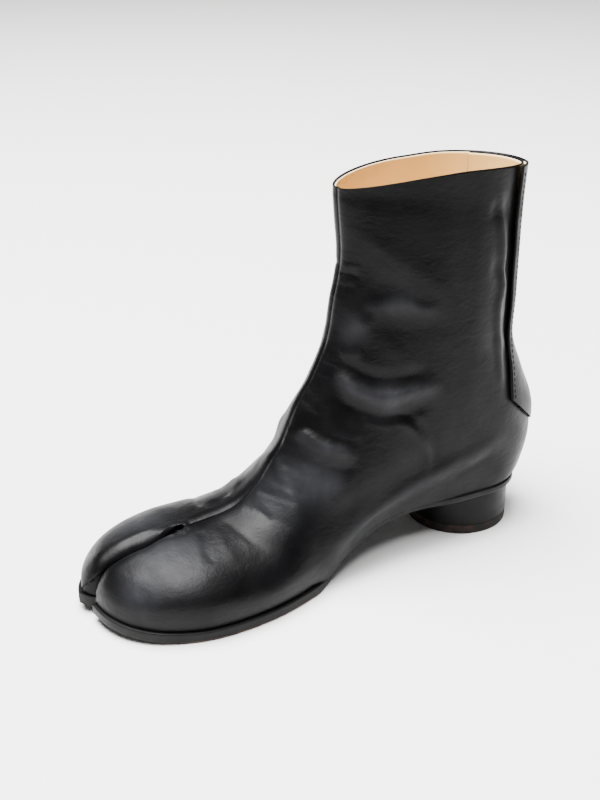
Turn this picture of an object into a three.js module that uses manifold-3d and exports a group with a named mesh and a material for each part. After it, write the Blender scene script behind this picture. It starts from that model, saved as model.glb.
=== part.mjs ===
// A right ankle boot of leather with a split toe, a low round heel and a lapped closure at the back.
// Millimetres, +Z up, the toe towards -Y and the big toe's side towards +X.
// The origin is on the floor under the middle of the heel.
import * as THREE from "three";
import { mergeVertices } from "three/addons/utils/BufferGeometryUtils.js";
import Module from "manifold-3d";

const wasm = await Module();
wasm.setup();

// Main sizes of the boot
const LENGTH = 285; // toe tip to the fullest point of the heel's back
const BALL_WIDTH = 104; // widest place, at the ball of the foot
const UPPER_RISE = 183; // from the seat of the heel to the collar
const WALL = 2; // leather and lining together
const COLLAR_CREST_INNER = 5; // how far the collar rises between seam and back, on the big toe's side
const COLLAR_CREST_OUTER = 2;
const PIECE_GAP = 0.3; // where two curved pieces meet

// Heel and sole
const HEEL_RADIUS = 30;
const BLOCK_HEIGHT = 20;
const LIFT_HEIGHT = 6;
const HEEL_HEIGHT = BLOCK_HEIGHT + LIFT_HEIGHT;
const LIFT_BEVEL = 0.8;
const HEEL_SIDES = 64;
const FOREPART_THICKNESS = 6;
const WAIST_THICKNESS = 4;
const TOE_SPRING = 5; // rise of the sole's underside at the toe tip
const FOREPART_EDGE = 2; // how far the forepart of the sole stands out past the upper
const WAIST_EDGE = -1.5; // the waist of the sole is tucked in under the upper
const SEAT_EDGE = 1;
const INSOLE_THICKNESS = 2.5;
const INSOLE_CLEARANCE = 1.6; // round the insole, to the inside of the upper
const TREAD_START = 0.41 * LENGTH; // how far ahead of the heel's middle the forepart meets the floor
const SPRING_START = 0.65 * LENGTH; // how far ahead the toe spring starts
const WAIST_CURVE = 2.4; // a higher value keeps the waist up for longer before it drops to the ball

// Split between the big toe and the other toes
const SPLIT_OFFSET = 5; // the split lies this far to the big toe's side
const SPLIT_LENGTH = 57;
const SPLIT_GAP = 1.5; // between the two pockets
const DROP_WIDTH = 5; // round opening at the rear end of the split
const DROP_LENGTH = 18;
const MOUTH_RADIUS = 12; // round corners of the two pockets at the mouth of the split
const POCKET_ROLL = 10; // radius with which the top of each pocket turns down into the split
const ROLL_LENGTH = 0.45 * SPLIT_LENGTH; // from the split's rear end to where the roll has that radius

// Back closure, where the outer panel laps over the inner one
const FLAP_THICKNESS = 1.6;
const FLAP_GAP = 0.5; // between the lapped panels at the foot of the slit
const FLAP_LIFT = 1.6; // how much more the flap's free edge stands off at the collar
const FLAP_LIFT_WIDTH = 0.15 * BALL_WIDTH; // from the boot's middle to where it stands off in full
const SLIT_WIDTH = 1; // cut through the inner layer, under the flap

// Plan outline of the toe, as superellipses on the two sides of the split
// start is a share of LENGTH ahead of the heel's middle, reach the share of the toe's full length on that side
const TOE_BIG = { start: 0.6175, power: 2.3, reach: 0.94 };
const TOE_OUTER = { start: 0.5263, power: 2.25, reach: 1 };
const BACK_ROUNDING = 0.43; // depth of the round back, as a share of BALL_WIDTH
const SEAT_ROUNDING = 0.32; // the same at the seat, changing to the other one over the counter
const COUNTER_RISE = 0.4 * UPPER_RISE;

// Sections of the upper from the toe tip to the collar, fanned round the instep. Each runs in side view from
// a low end, on the sole or on the back line, to a high end, on the ridge or on the front line.
// ahead: place ahead of the heel's middle, a share of LENGTH
// rise: height above the sole's top edge, a share of UPPER_RISE
// medial, lateral: half widths, shares of BALL_WIDTH
// centre: the share of SPLIT_OFFSET by which the section's middle is moved
// tuck: the width at the sole, a share of the widest
// belly: the place of the widest point, from low to high
// crown: how square the section's top is
const COLUMNS = [
  "lowAhead", "lowRise", "highAhead", "highRise", "medial", "lateral", "centre", "tuck", "belly", "crown",
];
const SECTIONS = [
  [0.8365, 0, 0.8386, 0.022, 0.475, 0.529, 1, 0.96, 0.6, 2.2],
  [0.8316, 0, 0.8351, 0.051, 0.475, 0.529, 1, 0.96, 0.55, 2.2],
  [0.8193, 0, 0.8246, 0.087, 0.475, 0.529, 1, 0.96, 0.5, 2.2],
  [0.7965, 0, 0.8053, 0.126, 0.475, 0.529, 1, 0.96, 0.42, 2.2],
  [0.7614, 0, 0.7649, 0.16, 0.475, 0.529, 1, 0.96, 0.38, 2.2],
  [0.7123, 0, 0.7158, 0.18, 0.475, 0.529, 1, 0.96, 0.34, 2.2],
  [0.6526, 0, 0.6561, 0.191, 0.485, 0.527, 1, 0.96, 0.32, 2.1],
  [0.5895, 0, 0.5965, 0.197, 0.485, 0.523, 1, 0.96, 0.3, 1.9],
  [0.5263, 0, 0.5333, 0.218, 0.467, 0.515, 1, 0.95, 0.27, 1.65],
  [0.4667, 0, 0.4842, 0.28, 0.425, 0.5, 1, 0.94, 0.24, 1.5],
  [0.407, 0, 0.4456, 0.363, 0.37, 0.47, 1, 0.92, 0.22, 1.45],
  [0.3404, 0, 0.407, 0.425, 0.33, 0.435, 0.9, 0.9, 0.22, 1.45],
  [0.2667, 0, 0.3675, 0.456, 0.31, 0.4, 0.7, 0.89, 0.23, 1.5],
  [0.1825, 0, 0.337, 0.525, 0.307, 0.38, 0.4, 0.89, 0.25, 1.6],
  [0.0912, 0, 0.323, 0.59, 0.32, 0.365, 0.2, 0.9, 0.28, 1.7],
  [0, 0, 0.316, 0.645, 0.33, 0.36, 0, 0.9, 0.32, 1.75],
  [-0.0702, 0, 0.311, 0.683, 0.335, 0.36, -0.1, 0.91, 0.36, 1.8],
  [-0.1158, 0, 0.305, 0.716, 0.335, 0.355, -0.2, 0.92, 0.4, 1.8],
  [-0.142, 0.071, 0.3, 0.749, 0.33, 0.35, -0.3, 0.94, 0.42, 1.8],
  [-0.156, 0.153, 0.296, 0.781, 0.325, 0.345, -0.4, 0.96, 0.44, 1.8],
  [-0.15, 0.251, 0.2945, 0.82, 0.315, 0.34, -0.5, 1, 0.46, 1.8],
  [-0.122, 0.361, 0.295, 0.858, 0.305, 0.33, -0.6, 1, 0.48, 1.8],
  [-0.0965, 0.475, 0.296, 0.891, 0.295, 0.325, -0.7, 1, 0.5, 1.8],
  [-0.1, 0.612, 0.2972, 0.923, 0.28, 0.315, -0.8, 1, 0.5, 1.8],
  [-0.102, 0.754, 0.2982, 0.956, 0.265, 0.31, -0.9, 1, 0.5, 1.8],
  [-0.106, 0.885, 0.2982, 0.978, 0.25, 0.31, -1, 1, 0.5, 1.8],
  [-0.111, 1.011, 0.2982, 0.997, 0.245, 0.31, -1, 1, 0.5, 1.8],
].map((row) => Object.fromEntries(row.map((value, i) => [COLUMNS[i], value])));
const LAST_SECTION = SECTIONS.length - 1;
const SEAT_SECTION = SECTIONS.findIndex((row) => row.lowRise > 0) - 1;
const TOE_TOP_SECTION = SECTIONS.findIndex((row) => row.crown < SECTIONS[0].crown);
const CREST_SECTIONS = 4; // the collar's crest fades out over this many sections
const CREST_START = LAST_SECTION - CREST_SECTIONS;

// Places along the sections where the forms are sampled, on the sole and then up the leg
const evenly = (from, to, steps) => Array.from({ length: steps }, (_, i) => from + ((to - from) * i) / steps);
const FOOT_PLACES = [...evenly(0, SEAT_SECTION, 27), SEAT_SECTION];
const PLACES = [...FOOT_PLACES.slice(0, -1), ...evenly(SEAT_SECTION, LAST_SECTION, 12), LAST_SECTION];

// Free edge of the back flap, seen from the side: ahead is a share of LENGTH, rise a share of UPPER_RISE
const FLAP_EDGE = [
  { ahead: -0.058, rise: 1.15 },
  { ahead: -0.064, rise: 0.765 },
  { ahead: -0.062, rise: 0.574 },
  { ahead: -0.05, rise: 0.41 },
  { ahead: -0.043, rise: 0.3 },
  { ahead: -0.058, rise: 0.225 },
  { ahead: -0.092, rise: 0.165 },
  { ahead: -0.2, rise: 0.13 },
];
const SLIT_FOOT = 0.29; // height of the slit's lower end, a share of UPPER_RISE
const SLIT_BEHIND = 0.056; // place of the cut under the flap, a share of LENGTH behind the heel's middle
const FLAP_LOOSE = 0.02; // the flap lies loose from here back, a share of LENGTH behind the heel's middle
const FLAP_MELT = 0.1; // ahead of that it melts into the outer panel, over this share of LENGTH

const mix = (a, b, t) => a + (b - a) * t;
const clamp = (value, low, high) => Math.min(Math.max(value, low), high);

function ease(t) {
  const s = clamp(t, 0, 1);
  return s * s * (3 - 2 * s);
}

// One column of a table at a place between its rows, on a smooth curve through the rows
function along(table, column, place) {
  const last = table.length - 1;
  const at = clamp(place, 0, last);
  const row = Math.min(Math.floor(at), last - 1);
  const t = at - row;
  const value = (i) => table[clamp(i, 0, last)][column];
  const [a, b, c, d] = [value(row - 1), value(row), value(row + 1), value(row + 2)];
  return b + 0.5 * t * (c - a + t * (2 * a - 5 * b + 4 * c - d + t * (3 * (b - c) + d - a)));
}

// Height of the sole's underside at a place along the boot
function undersideHeight(y) {
  const ahead = -y;
  if (ahead >= TREAD_START) {
    const toeTip = SECTIONS[0].highAhead * LENGTH;
    const s = Math.max(0, ahead - SPRING_START) / (toeTip - SPRING_START);
    return TOE_SPRING * s * s;
  }
  const s = clamp((ahead - HEEL_RADIUS) / (TREAD_START - HEEL_RADIUS), 0, 1);
  return HEEL_HEIGHT * (1 - ease(s ** WAIST_CURVE));
}

// 0 on the waist of the sole, 1 where its forepart is thick
const treadShare = (y) => ease((-y - 0.9 * TREAD_START) / (0.15 * TREAD_START));
const soleThickness = (y) => mix(WAIST_THICKNESS, FOREPART_THICKNESS, treadShare(y));
const featherHeight = (y) => undersideHeight(y) + soleThickness(y);

// Side view of one section: its ends as [y, z]
function sectionEnds(place) {
  const at = (column) => along(SECTIONS, column, place);
  const lowY = -at("lowAhead") * LENGTH;
  const base = featherHeight(lowY);
  return {
    low: [lowY, base + Math.max(0, at("lowRise")) * UPPER_RISE],
    high: [-at("highAhead") * LENGTH, base + at("highRise") * UPPER_RISE],
  };
}

// Back line and toe line as samples [z, y], read between samples by height
const LINE_SAMPLES = 60;
function sampledLine(from, to, end) {
  return Array.from({ length: LINE_SAMPLES + 1 }, (_, i) => {
    const [y, z] = sectionEnds(mix(from, to, i / LINE_SAMPLES))[end];
    return [z, y];
  });
}
const BACK_LINE = sampledLine(SEAT_SECTION, LAST_SECTION, "low");
const TOE_LINE = sampledLine(0, TOE_TOP_SECTION, "high");
function readLine(line, z) {
  const next = clamp(line.findIndex((sample) => sample[0] > z), 1, line.length - 1);
  const i = line[line.length - 1][0] <= z ? line.length - 1 : next;
  const [[z0, y0], [z1, y1]] = [line[i - 1], line[i]];
  return mix(y0, y1, clamp((z - z0) / (z1 - z0), 0, 1));
}

// Half of the split's width at a distance from its rear end, widened by the inset
function splitHalf(fromRear, inset) {
  const t = fromRear + inset;
  if (t <= 0) return 0;
  const drop = DROP_WIDTH / 2 + inset;
  const dropLength = DROP_LENGTH + inset;
  const slot = SPLIT_GAP / 2 + inset;
  const round = t < drop ? Math.sqrt(drop * drop - (drop - t) ** 2) : drop;
  const neck = mix(round, slot, ease((t - drop) / (dropLength - drop)));
  const radius = MOUTH_RADIUS - inset;
  const flare = clamp(fromRear - (SPLIT_LENGTH - MOUTH_RADIUS), 0, radius);
  return neck + radius - Math.sqrt(radius * radius - flare * flare);
}
const splitRear = () => -(SECTIONS[0].highAhead * LENGTH - SPLIT_LENGTH);

// How far the top of a pocket has turned down at a plan point near the split
function rollDrop(x, y, inset) {
  const fromRear = splitRear() - y;
  const radius = (POCKET_ROLL - inset) * ease(fromRear / ROLL_LENGTH);
  if (radius <= 0) return 0;
  const s = Math.max(0, Math.abs(x - SPLIT_OFFSET) - splitHalf(Math.max(fromRear, 0.1), inset));
  if (s >= radius) return 0;
  const t = 1 - s / radius;
  return radius * (1 - Math.sqrt(1 - t * t));
}

// A plan outline closing towards the toe tip: 1 behind its start, 0 on the toe line
function toeClosing(y, z, side, inset) {
  const { start, power, reach } = side > 0 ? TOE_BIG : TOE_OUTER;
  const from = -start * LENGTH;
  const tip = mix(from, readLine(TOE_LINE, z + inset / 2), reach) + inset;
  const t = clamp((from - y) / (from - tip), 0, 1);
  return (1 - t ** power) ** (1 / power);
}

// A plan outline closing towards the back: 1 ahead of the rounding, 0 on the back line
function backClosing(y, z, inset) {
  const back = readLine(BACK_LINE, z) - inset;
  const seat = featherHeight(0);
  const share = mix(SEAT_ROUNDING, BACK_ROUNDING, ease((z - seat) / COUNTER_RISE));
  const depth = share * BALL_WIDTH - inset;
  const t = clamp(1 - (back - y) / depth, 0, 1);
  return Math.sqrt(1 - t * t);
}

// A point of the boot's form. place runs along the sections, w from the low to the high end, side is +1 on the
// big toe's side and -1 on the outer side, and inset moves the form inwards.
function formPoint(place, w, side, inset) {
  const at = (column) => along(SECTIONS, column, place);
  const { low, high } = sectionEnds(place);
  const span = Math.hypot(high[0] - low[0], high[1] - low[1]);
  const onBack = clamp((low[1] - featherHeight(low[0])) / WALL, 0, 1);
  const share = mix((onBack * inset) / span, 1 - inset / span, w);
  const y = mix(low[0], high[0], share);
  const z = mix(low[1], high[1], share);
  const belly = at("belly");
  const crown = at("crown");
  const above = clamp((w - belly) / (1 - belly), 0, 1);
  const below = clamp(1 - w / belly, 0, 1);
  const ridge = (1 - above ** crown) ** (1 / crown);
  const tuck = 1 - (1 - at("tuck")) * below * below;
  const half = at(side > 0 ? "medial" : "lateral") * BALL_WIDTH - inset;
  const closing = toeClosing(y, z, side, inset) * backClosing(y, z, inset);
  const x = at("centre") * SPLIT_OFFSET + side * half * ridge * tuck * closing;
  const base = featherHeight(y);
  const toeBox = SECTIONS[TOE_TOP_SECTION - 1].highRise * UPPER_RISE;
  const fullCrest = side > 0 ? COLLAR_CREST_INNER : COLLAR_CREST_OUTER;
  const crest = fullCrest * ease((place - CREST_START) / CREST_SECTIONS);
  const raised = z + crest * Math.sin(Math.PI * clamp(w, 0, 1));
  const pressed = raised > base ? base + (raised - base) * (1 - rollDrop(x, y, inset) / toeBox) : raised;
  return [x, y, pressed];
}

// Places of a section's points from its low end to its high end, denser at both ends
const BELOW_BELLY = 6;
const ABOVE_BELLY = [0.985, 0.94, 0.86, 0.74, 0.6, 0.46, 0.33, 0.22, 0.13, 0.06, 0];
function sectionPlaces(place) {
  const belly = along(SECTIONS, "belly", place);
  const crown = along(SECTIONS, "crown", place);
  const lower = Array.from({ length: BELOW_BELLY + 1 }, (_, j) =>
    belly * (1 - Math.cos((Math.PI / 2) * (j / BELOW_BELLY))));
  const upper = ABOVE_BELLY.map((half) => belly + (1 - belly) * (1 - half ** crown) ** (1 / crown));
  return [...lower, ...upper];
}

// A section as a ring of points: up the inner side, over the ridge and down the outer side
function sectionRing(place, insetOf) {
  const places = sectionPlaces(place);
  const point = (w, side) => formPoint(place, w, side, insetOf(place, w, side));
  const up = places.map((w) => point(w, 1));
  const down = places.slice(0, -1).reverse().map((w) => point(w, -1));
  return [...up, ...down];
}

// Closed solid from rings of points that follow each other, capped at an end that has some width
function loft(rings) {
  const count = rings[0].length;
  const points = rings.flat();
  const faces = [];
  const leastWidth = 0.01;
  for (let i = 0; i < rings.length - 1; i++) {
    for (let j = 0; j < count; j++) {
      const [a, b] = [i * count + j, i * count + ((j + 1) % count)];
      faces.push(a, b, b + count, a, b + count, a + count);
    }
  }
  const wide = (ring) => Math.max(...ring.map((p) => p[0])) - Math.min(...ring.map((p) => p[0])) > leastWidth;
  const cap = (start, turn) => {
    const ring = points.slice(start, start + count);
    if (!wide(ring)) return;
    points.push([0, 1, 2].map((k) => ring.reduce((sum, p) => sum + p[k], 0) / count));
    for (let j = 0; j < count; j++) {
      const edge = [start + j, start + ((j + 1) % count)];
      faces.push(points.length - 1, edge[turn], edge[1 - turn]);
    }
  };
  cap(0, 1);
  cap((rings.length - 1) * count, 0);
  const geometry = new THREE.BufferGeometry();
  geometry.setAttribute("position", new THREE.Float32BufferAttribute(points.flat(), 3));
  geometry.setIndex(faces);
  return solidOf(geometry);
}

// Solid of a closed geometry, with its shared corners merged and faces without area left out
function solidOf(geometry) {
  const bare = geometry.clone();
  bare.deleteAttribute("normal");
  bare.deleteAttribute("uv");
  const merged = mergeVertices(bare, 1e-3);
  const corners = merged.index.array;
  const kept = [];
  for (let i = 0; i < corners.length; i += 3) {
    const [a, b, c] = [corners[i], corners[i + 1], corners[i + 2]];
    if (a !== b && b !== c && c !== a) kept.push(a, b, c);
  }
  const vertProperties = new Float32Array(merged.attributes.position.array);
  const solid = (triVerts) => new wasm.Manifold(new wasm.Mesh({ numProp: 3, vertProperties, triVerts }));
  const made = solid(new Uint32Array(kept));
  return made.volume() > 0 ? made : solid(new Uint32Array(kept.reverse()));
}

// Straight prism over a plan outline, from one height to another
function planPrism(outline, bottom, top) {
  const shape = new THREE.Shape(outline.map(([x, y]) => new THREE.Vector2(x, y)));
  const geometry = new THREE.ExtrudeGeometry(shape, { depth: top - bottom, bevelEnabled: false });
  return solidOf(geometry.translate(0, 0, bottom));
}

// The boot's form as a solid, ending at the sole's top edge and at the collar, or lengthened past both
function form(insetOf, past) {
  const rings = PLACES.map((place) => {
    const ring = sectionRing(place, insetOf);
    if (!past) return ring;
    const down = ([x, y, z]) => [x, y, z - (place <= SEAT_SECTION ? past : 0)];
    return [down(ring[0]), ...ring, down(ring[ring.length - 1])];
  });
  if (past) rings.push(rings[rings.length - 1].map(([x, y, z]) => [x, y, z + past]));
  return loft(rings);
}

// Cutter for the split through upper, sole or insole
const SPLIT_STEPS = 40;
function splitCutter(inset, bottom, top) {
  const steps = SPLIT_STEPS;
  const reach = SPLIT_LENGTH + inset + MOUTH_RADIUS;
  const side = Array.from({ length: steps + 1 }, (_, i) => {
    const t = -inset + reach * (0.5 - 0.5 * Math.cos((Math.PI * i) / steps));
    return [splitHalf(Math.min(t, SPLIT_LENGTH), inset), splitRear() - t];
  });
  const right = side.map(([half, y]) => [SPLIT_OFFSET + half, y]);
  const left = side.slice(1).reverse().map(([half, y]) => [SPLIT_OFFSET - half, y]);
  return planPrism([...right, ...left], bottom, top);
}

// Prism through the boot from side to side, over an outline in side view
function sidePrism(outline, left, right) {
  const shape = new THREE.Shape(outline.map(([y, z]) => new THREE.Vector2(y, z)));
  const geometry = new THREE.ExtrudeGeometry(shape, { depth: right - left, bevelEnabled: false });
  return solidOf(geometry.translate(0, 0, left).rotateX(Math.PI / 2).rotateZ(Math.PI / 2));
}

const upperHeight = (rise) => featherHeight(0) + rise * UPPER_RISE;

// Space behind the free edge of the back flap
function behindFlapEdge() {
  const stepsPerRow = 3;
  const steps = stepsPerRow * (FLAP_EDGE.length - 1);
  const edge = Array.from({ length: steps + 1 }, (_, i) => {
    const place = i / stepsPerRow;
    return [-along(FLAP_EDGE, "ahead", place) * LENGTH, upperHeight(along(FLAP_EDGE, "rise", place))];
  });
  const far = LENGTH / 2;
  return sidePrism([...edge, [far, edge[steps][1]], [far, edge[0][1]]], -BALL_WIDTH, BALL_WIDTH);
}

// How loose the flap lies at a point: 1 where it is free, 0 where it has melted into the outer panel
function flapLooseness(place, w, side) {
  if (side > 0) return 1;
  const [, y] = formPoint(place, w, side, 0);
  return ease((y - (FLAP_LOOSE - FLAP_MELT) * LENGTH) / (FLAP_MELT * LENGTH));
}

// Room between the lapped panels: it opens towards the collar and towards the free edge
function flapRoom(place, w, side) {
  const [x, , z] = formPoint(place, w, side, 0);
  const up = ease((z - upperHeight(SLIT_FOOT)) / (UPPER_RISE * (1 - SLIT_FOOT)));
  const across = clamp(x / FLAP_LIFT_WIDTH, 0, 1);
  return FLAP_GAP + FLAP_LIFT * up * across;
}

// The step that the lapped outer panel makes round the back: a layer between two larger forms
function flapSolid() {
  const sunk = 0.15 * WALL;
  const outside = form((place, w, side) =>
    mix(sunk, -flapRoom(place, w, side) - FLAP_THICKNESS, flapLooseness(place, w, side)), 0);
  const inside = form((place, w, side) => {
    const [, , z] = formPoint(place, w, side, 0);
    const open = ease((z - upperHeight(SLIT_FOOT) + FLAP_GAP) / (4 * FLAP_GAP));
    return mix(WALL / 2, -flapRoom(place, w, side), flapLooseness(place, w, side) ** 2 * open);
  }, 2 * INSOLE_THICKNESS);
  return outside.intersect(behindFlapEdge()).subtract(inside);
}

// Cut through the inner layer under the flap, from the foot of the slit to the collar
function slitCutter() {
  const y = SLIT_BEHIND * LENGTH;
  const [foot, top] = [upperHeight(SLIT_FOOT), upperHeight(2)];
  const outline = [[y, foot], [y + SLIT_WIDTH, foot], [y + SLIT_WIDTH, top], [y, top]];
  return sidePrism(outline, -BALL_WIDTH, 0);
}

function upperSolid() {
  const outer = form(() => 0, 0).subtract(splitCutter(0, -TOE_SPRING, UPPER_RISE));
  const inner = form(() => WALL, 2 * INSOLE_THICKNESS).subtract(splitCutter(WALL, -TOE_SPRING, UPPER_RISE));
  return outer.subtract(inner).subtract(slitCutter()).add(flapSolid());
}

// A point of the upper's lower edge, moved outwards in plan
function edgePoint(place, side, out) {
  const step = 0.02;
  const from = formPoint(Math.max(place - step, 0), 0, side, 0);
  const to = formPoint(Math.min(place + step, SEAT_SECTION), 0, side, 0);
  const [x, y] = formPoint(place, 0, side, 0);
  const [dx, dy] = [to[0] - from[0], to[1] - from[1]];
  const length = Math.hypot(dx, dy) * side;
  return [x + (out * dy) / length, y - (out * dx) / length];
}

// A plate along the sole: its edge is a list of points with out, how far past the upper, and height, as
// functions of the place along the boot, from the top edge down
function plate(edge) {
  const rings = FOOT_PLACES.map((place) => {
    const base = formPoint(place, 0, 1, 0)[1];
    const sidePoints = (side) => edge.map(({ out, height }) => {
      const [x, y] = edgePoint(place, side, out(base));
      return [x, y, height(y)];
    });
    return [...sidePoints(1), ...sidePoints(-1).reverse()];
  });
  return loft(rings);
}

// How far the sole's edge stands out past the upper
function soleEdge(y) {
  const seat = ease((y + 1.6 * HEEL_RADIUS) / HEEL_RADIUS);
  return mix(mix(WAIST_EDGE, SEAT_EDGE, seat), FOREPART_EDGE, treadShare(y));
}

function outsoleSolid() {
  const round = 0.25 * WAIST_THICKNESS;
  const top = (y) => featherHeight(y) - PIECE_GAP;
  return plate([
    { out: (y) => soleEdge(y) - round / 2, height: top },
    { out: soleEdge, height: (y) => top(y) - round },
    { out: soleEdge, height: (y) => undersideHeight(y) + round },
    { out: (y) => soleEdge(y) - round, height: undersideHeight },
  ]).subtract(splitCutter(0, -FOREPART_THICKNESS, UPPER_RISE));
}

function insoleSolid() {
  const inset = WALL + INSOLE_CLEARANCE;
  return plate([
    { out: () => -inset, height: (y) => featherHeight(y) + INSOLE_THICKNESS },
    { out: () => -inset, height: featherHeight },
  ]).subtract(splitCutter(inset, -FOREPART_THICKNESS, UPPER_RISE));
}

// Round piece of the heel on the boot's own axis, with a small bevel at its lower edge
function heelPiece(bottom, height, bevel) {
  const profile = [
    [0, bottom],
    [HEEL_RADIUS - bevel, bottom],
    [HEEL_RADIUS, bottom + bevel],
    [HEEL_RADIUS, bottom + height],
    [0, bottom + height],
  ];
  const geometry = new THREE.LatheGeometry(profile.map(([x, y]) => new THREE.Vector2(x, y)), HEEL_SIDES);
  return solidOf(geometry.rotateX(Math.PI / 2));
}

function mesh(name, solid, look) {
  const { vertProperties, triVerts } = solid.getMesh();
  const geometry = new THREE.BufferGeometry();
  geometry.setAttribute("position", new THREE.BufferAttribute(vertProperties, 3));
  geometry.setIndex(new THREE.BufferAttribute(triVerts, 1));
  geometry.computeVertexNormals();
  const made = new THREE.Mesh(geometry, new THREE.MeshStandardMaterial(look));
  made.name = name;
  return made;
}

const BLACK_LEATHER = { color: 0x17181a, roughness: 0.45, metalness: 0 };
const TAN_LEATHER = { color: 0xd9a878, roughness: 0.7, metalness: 0 };
const BLACK_SOLE = { color: 0x141414, roughness: 0.6, metalness: 0 };
const BLACK_RUBBER = { color: 0x1b1a1a, roughness: 0.8, metalness: 0 };

const boot = new THREE.Group();
boot.add(mesh("upper", upperSolid(), BLACK_LEATHER));
boot.add(mesh("outsole", outsoleSolid(), BLACK_SOLE));
boot.add(mesh("insole", insoleSolid(), TAN_LEATHER));
boot.add(mesh("heel_block", heelPiece(LIFT_HEIGHT, BLOCK_HEIGHT, 0), BLACK_SOLE));
boot.add(mesh("heel_lift", heelPiece(0, LIFT_HEIGHT, LIFT_BEVEL), BLACK_RUBBER));

export default boot;
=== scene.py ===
"""A right ankle boot of worn black leather with a split toe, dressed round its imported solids.

Metres, +Z up, the toe towards -Y and the big toe's side towards +X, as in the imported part.
"""
import math

import bmesh
import bpy
import numpy as np
from mathutils import Matrix, Vector


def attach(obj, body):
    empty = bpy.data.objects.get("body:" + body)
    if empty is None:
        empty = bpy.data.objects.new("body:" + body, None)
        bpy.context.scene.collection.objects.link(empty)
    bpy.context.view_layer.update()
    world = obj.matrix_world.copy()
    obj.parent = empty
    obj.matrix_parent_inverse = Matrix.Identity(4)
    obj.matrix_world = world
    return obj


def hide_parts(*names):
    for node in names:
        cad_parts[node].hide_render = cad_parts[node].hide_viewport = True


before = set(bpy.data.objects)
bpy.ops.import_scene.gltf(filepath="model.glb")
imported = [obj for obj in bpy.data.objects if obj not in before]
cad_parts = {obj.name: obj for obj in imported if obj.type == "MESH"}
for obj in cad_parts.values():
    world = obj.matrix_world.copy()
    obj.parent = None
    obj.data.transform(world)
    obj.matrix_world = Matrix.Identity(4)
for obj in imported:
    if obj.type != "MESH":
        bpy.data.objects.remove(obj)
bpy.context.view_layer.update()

# Main sizes of the boot
LENGTH = 0.285
BALL_WIDTH = 0.104
UPPER_RISE = 0.183
COLLAR_CREST = {1: 0.005, -1: 0.002}
LEATHER = 0.0012
LINING = 0.0008
HEEL_RADIUS = 0.030
BLOCK_HEIGHT = 0.020
LIFT_HEIGHT = 0.006
HEEL_HEIGHT = BLOCK_HEIGHT + LIFT_HEIGHT
FOREPART_THICKNESS = 0.006
WAIST_THICKNESS = 0.004
TOE_SPRING = 0.005
FOREPART_EDGE = 0.002
WAIST_EDGE = -0.0015
SEAT_EDGE = 0.001
SEAT_EDGE_START = 1.6 * HEEL_RADIUS
TREAD_START = 0.41 * LENGTH
TREAD_STEP_START = 0.9 * TREAD_START
TREAD_STEP_LENGTH = 0.15 * TREAD_START
SPRING_START = 0.65 * LENGTH
WAIST_CURVE = 2.4

# Split between the big toe and the other toes
SPLIT_OFFSET = 0.005
SPLIT_LENGTH = 0.057
SPLIT_GAP = 0.0015
DROP_WIDTH = 0.005
DROP_LENGTH = 0.018
MOUTH_RADIUS = 0.012
POCKET_ROLL = 0.010
ROLL_LENGTH = 0.45 * SPLIT_LENGTH
JUST_AHEAD = 0.0001  # the least distance ahead of the split's rear at which its width is read

# Plan outline of the toe on the two sides of the split, and of the back
TOE_START = {1: 0.6175, -1: 0.5263}
TOE_POWER = {1: 2.3, -1: 2.25}
TOE_REACH = {1: 0.94, -1: 1.0}
BACK_ROUNDING = 0.43
SEAT_ROUNDING = 0.32
COUNTER_RISE = 0.4 * UPPER_RISE

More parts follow.
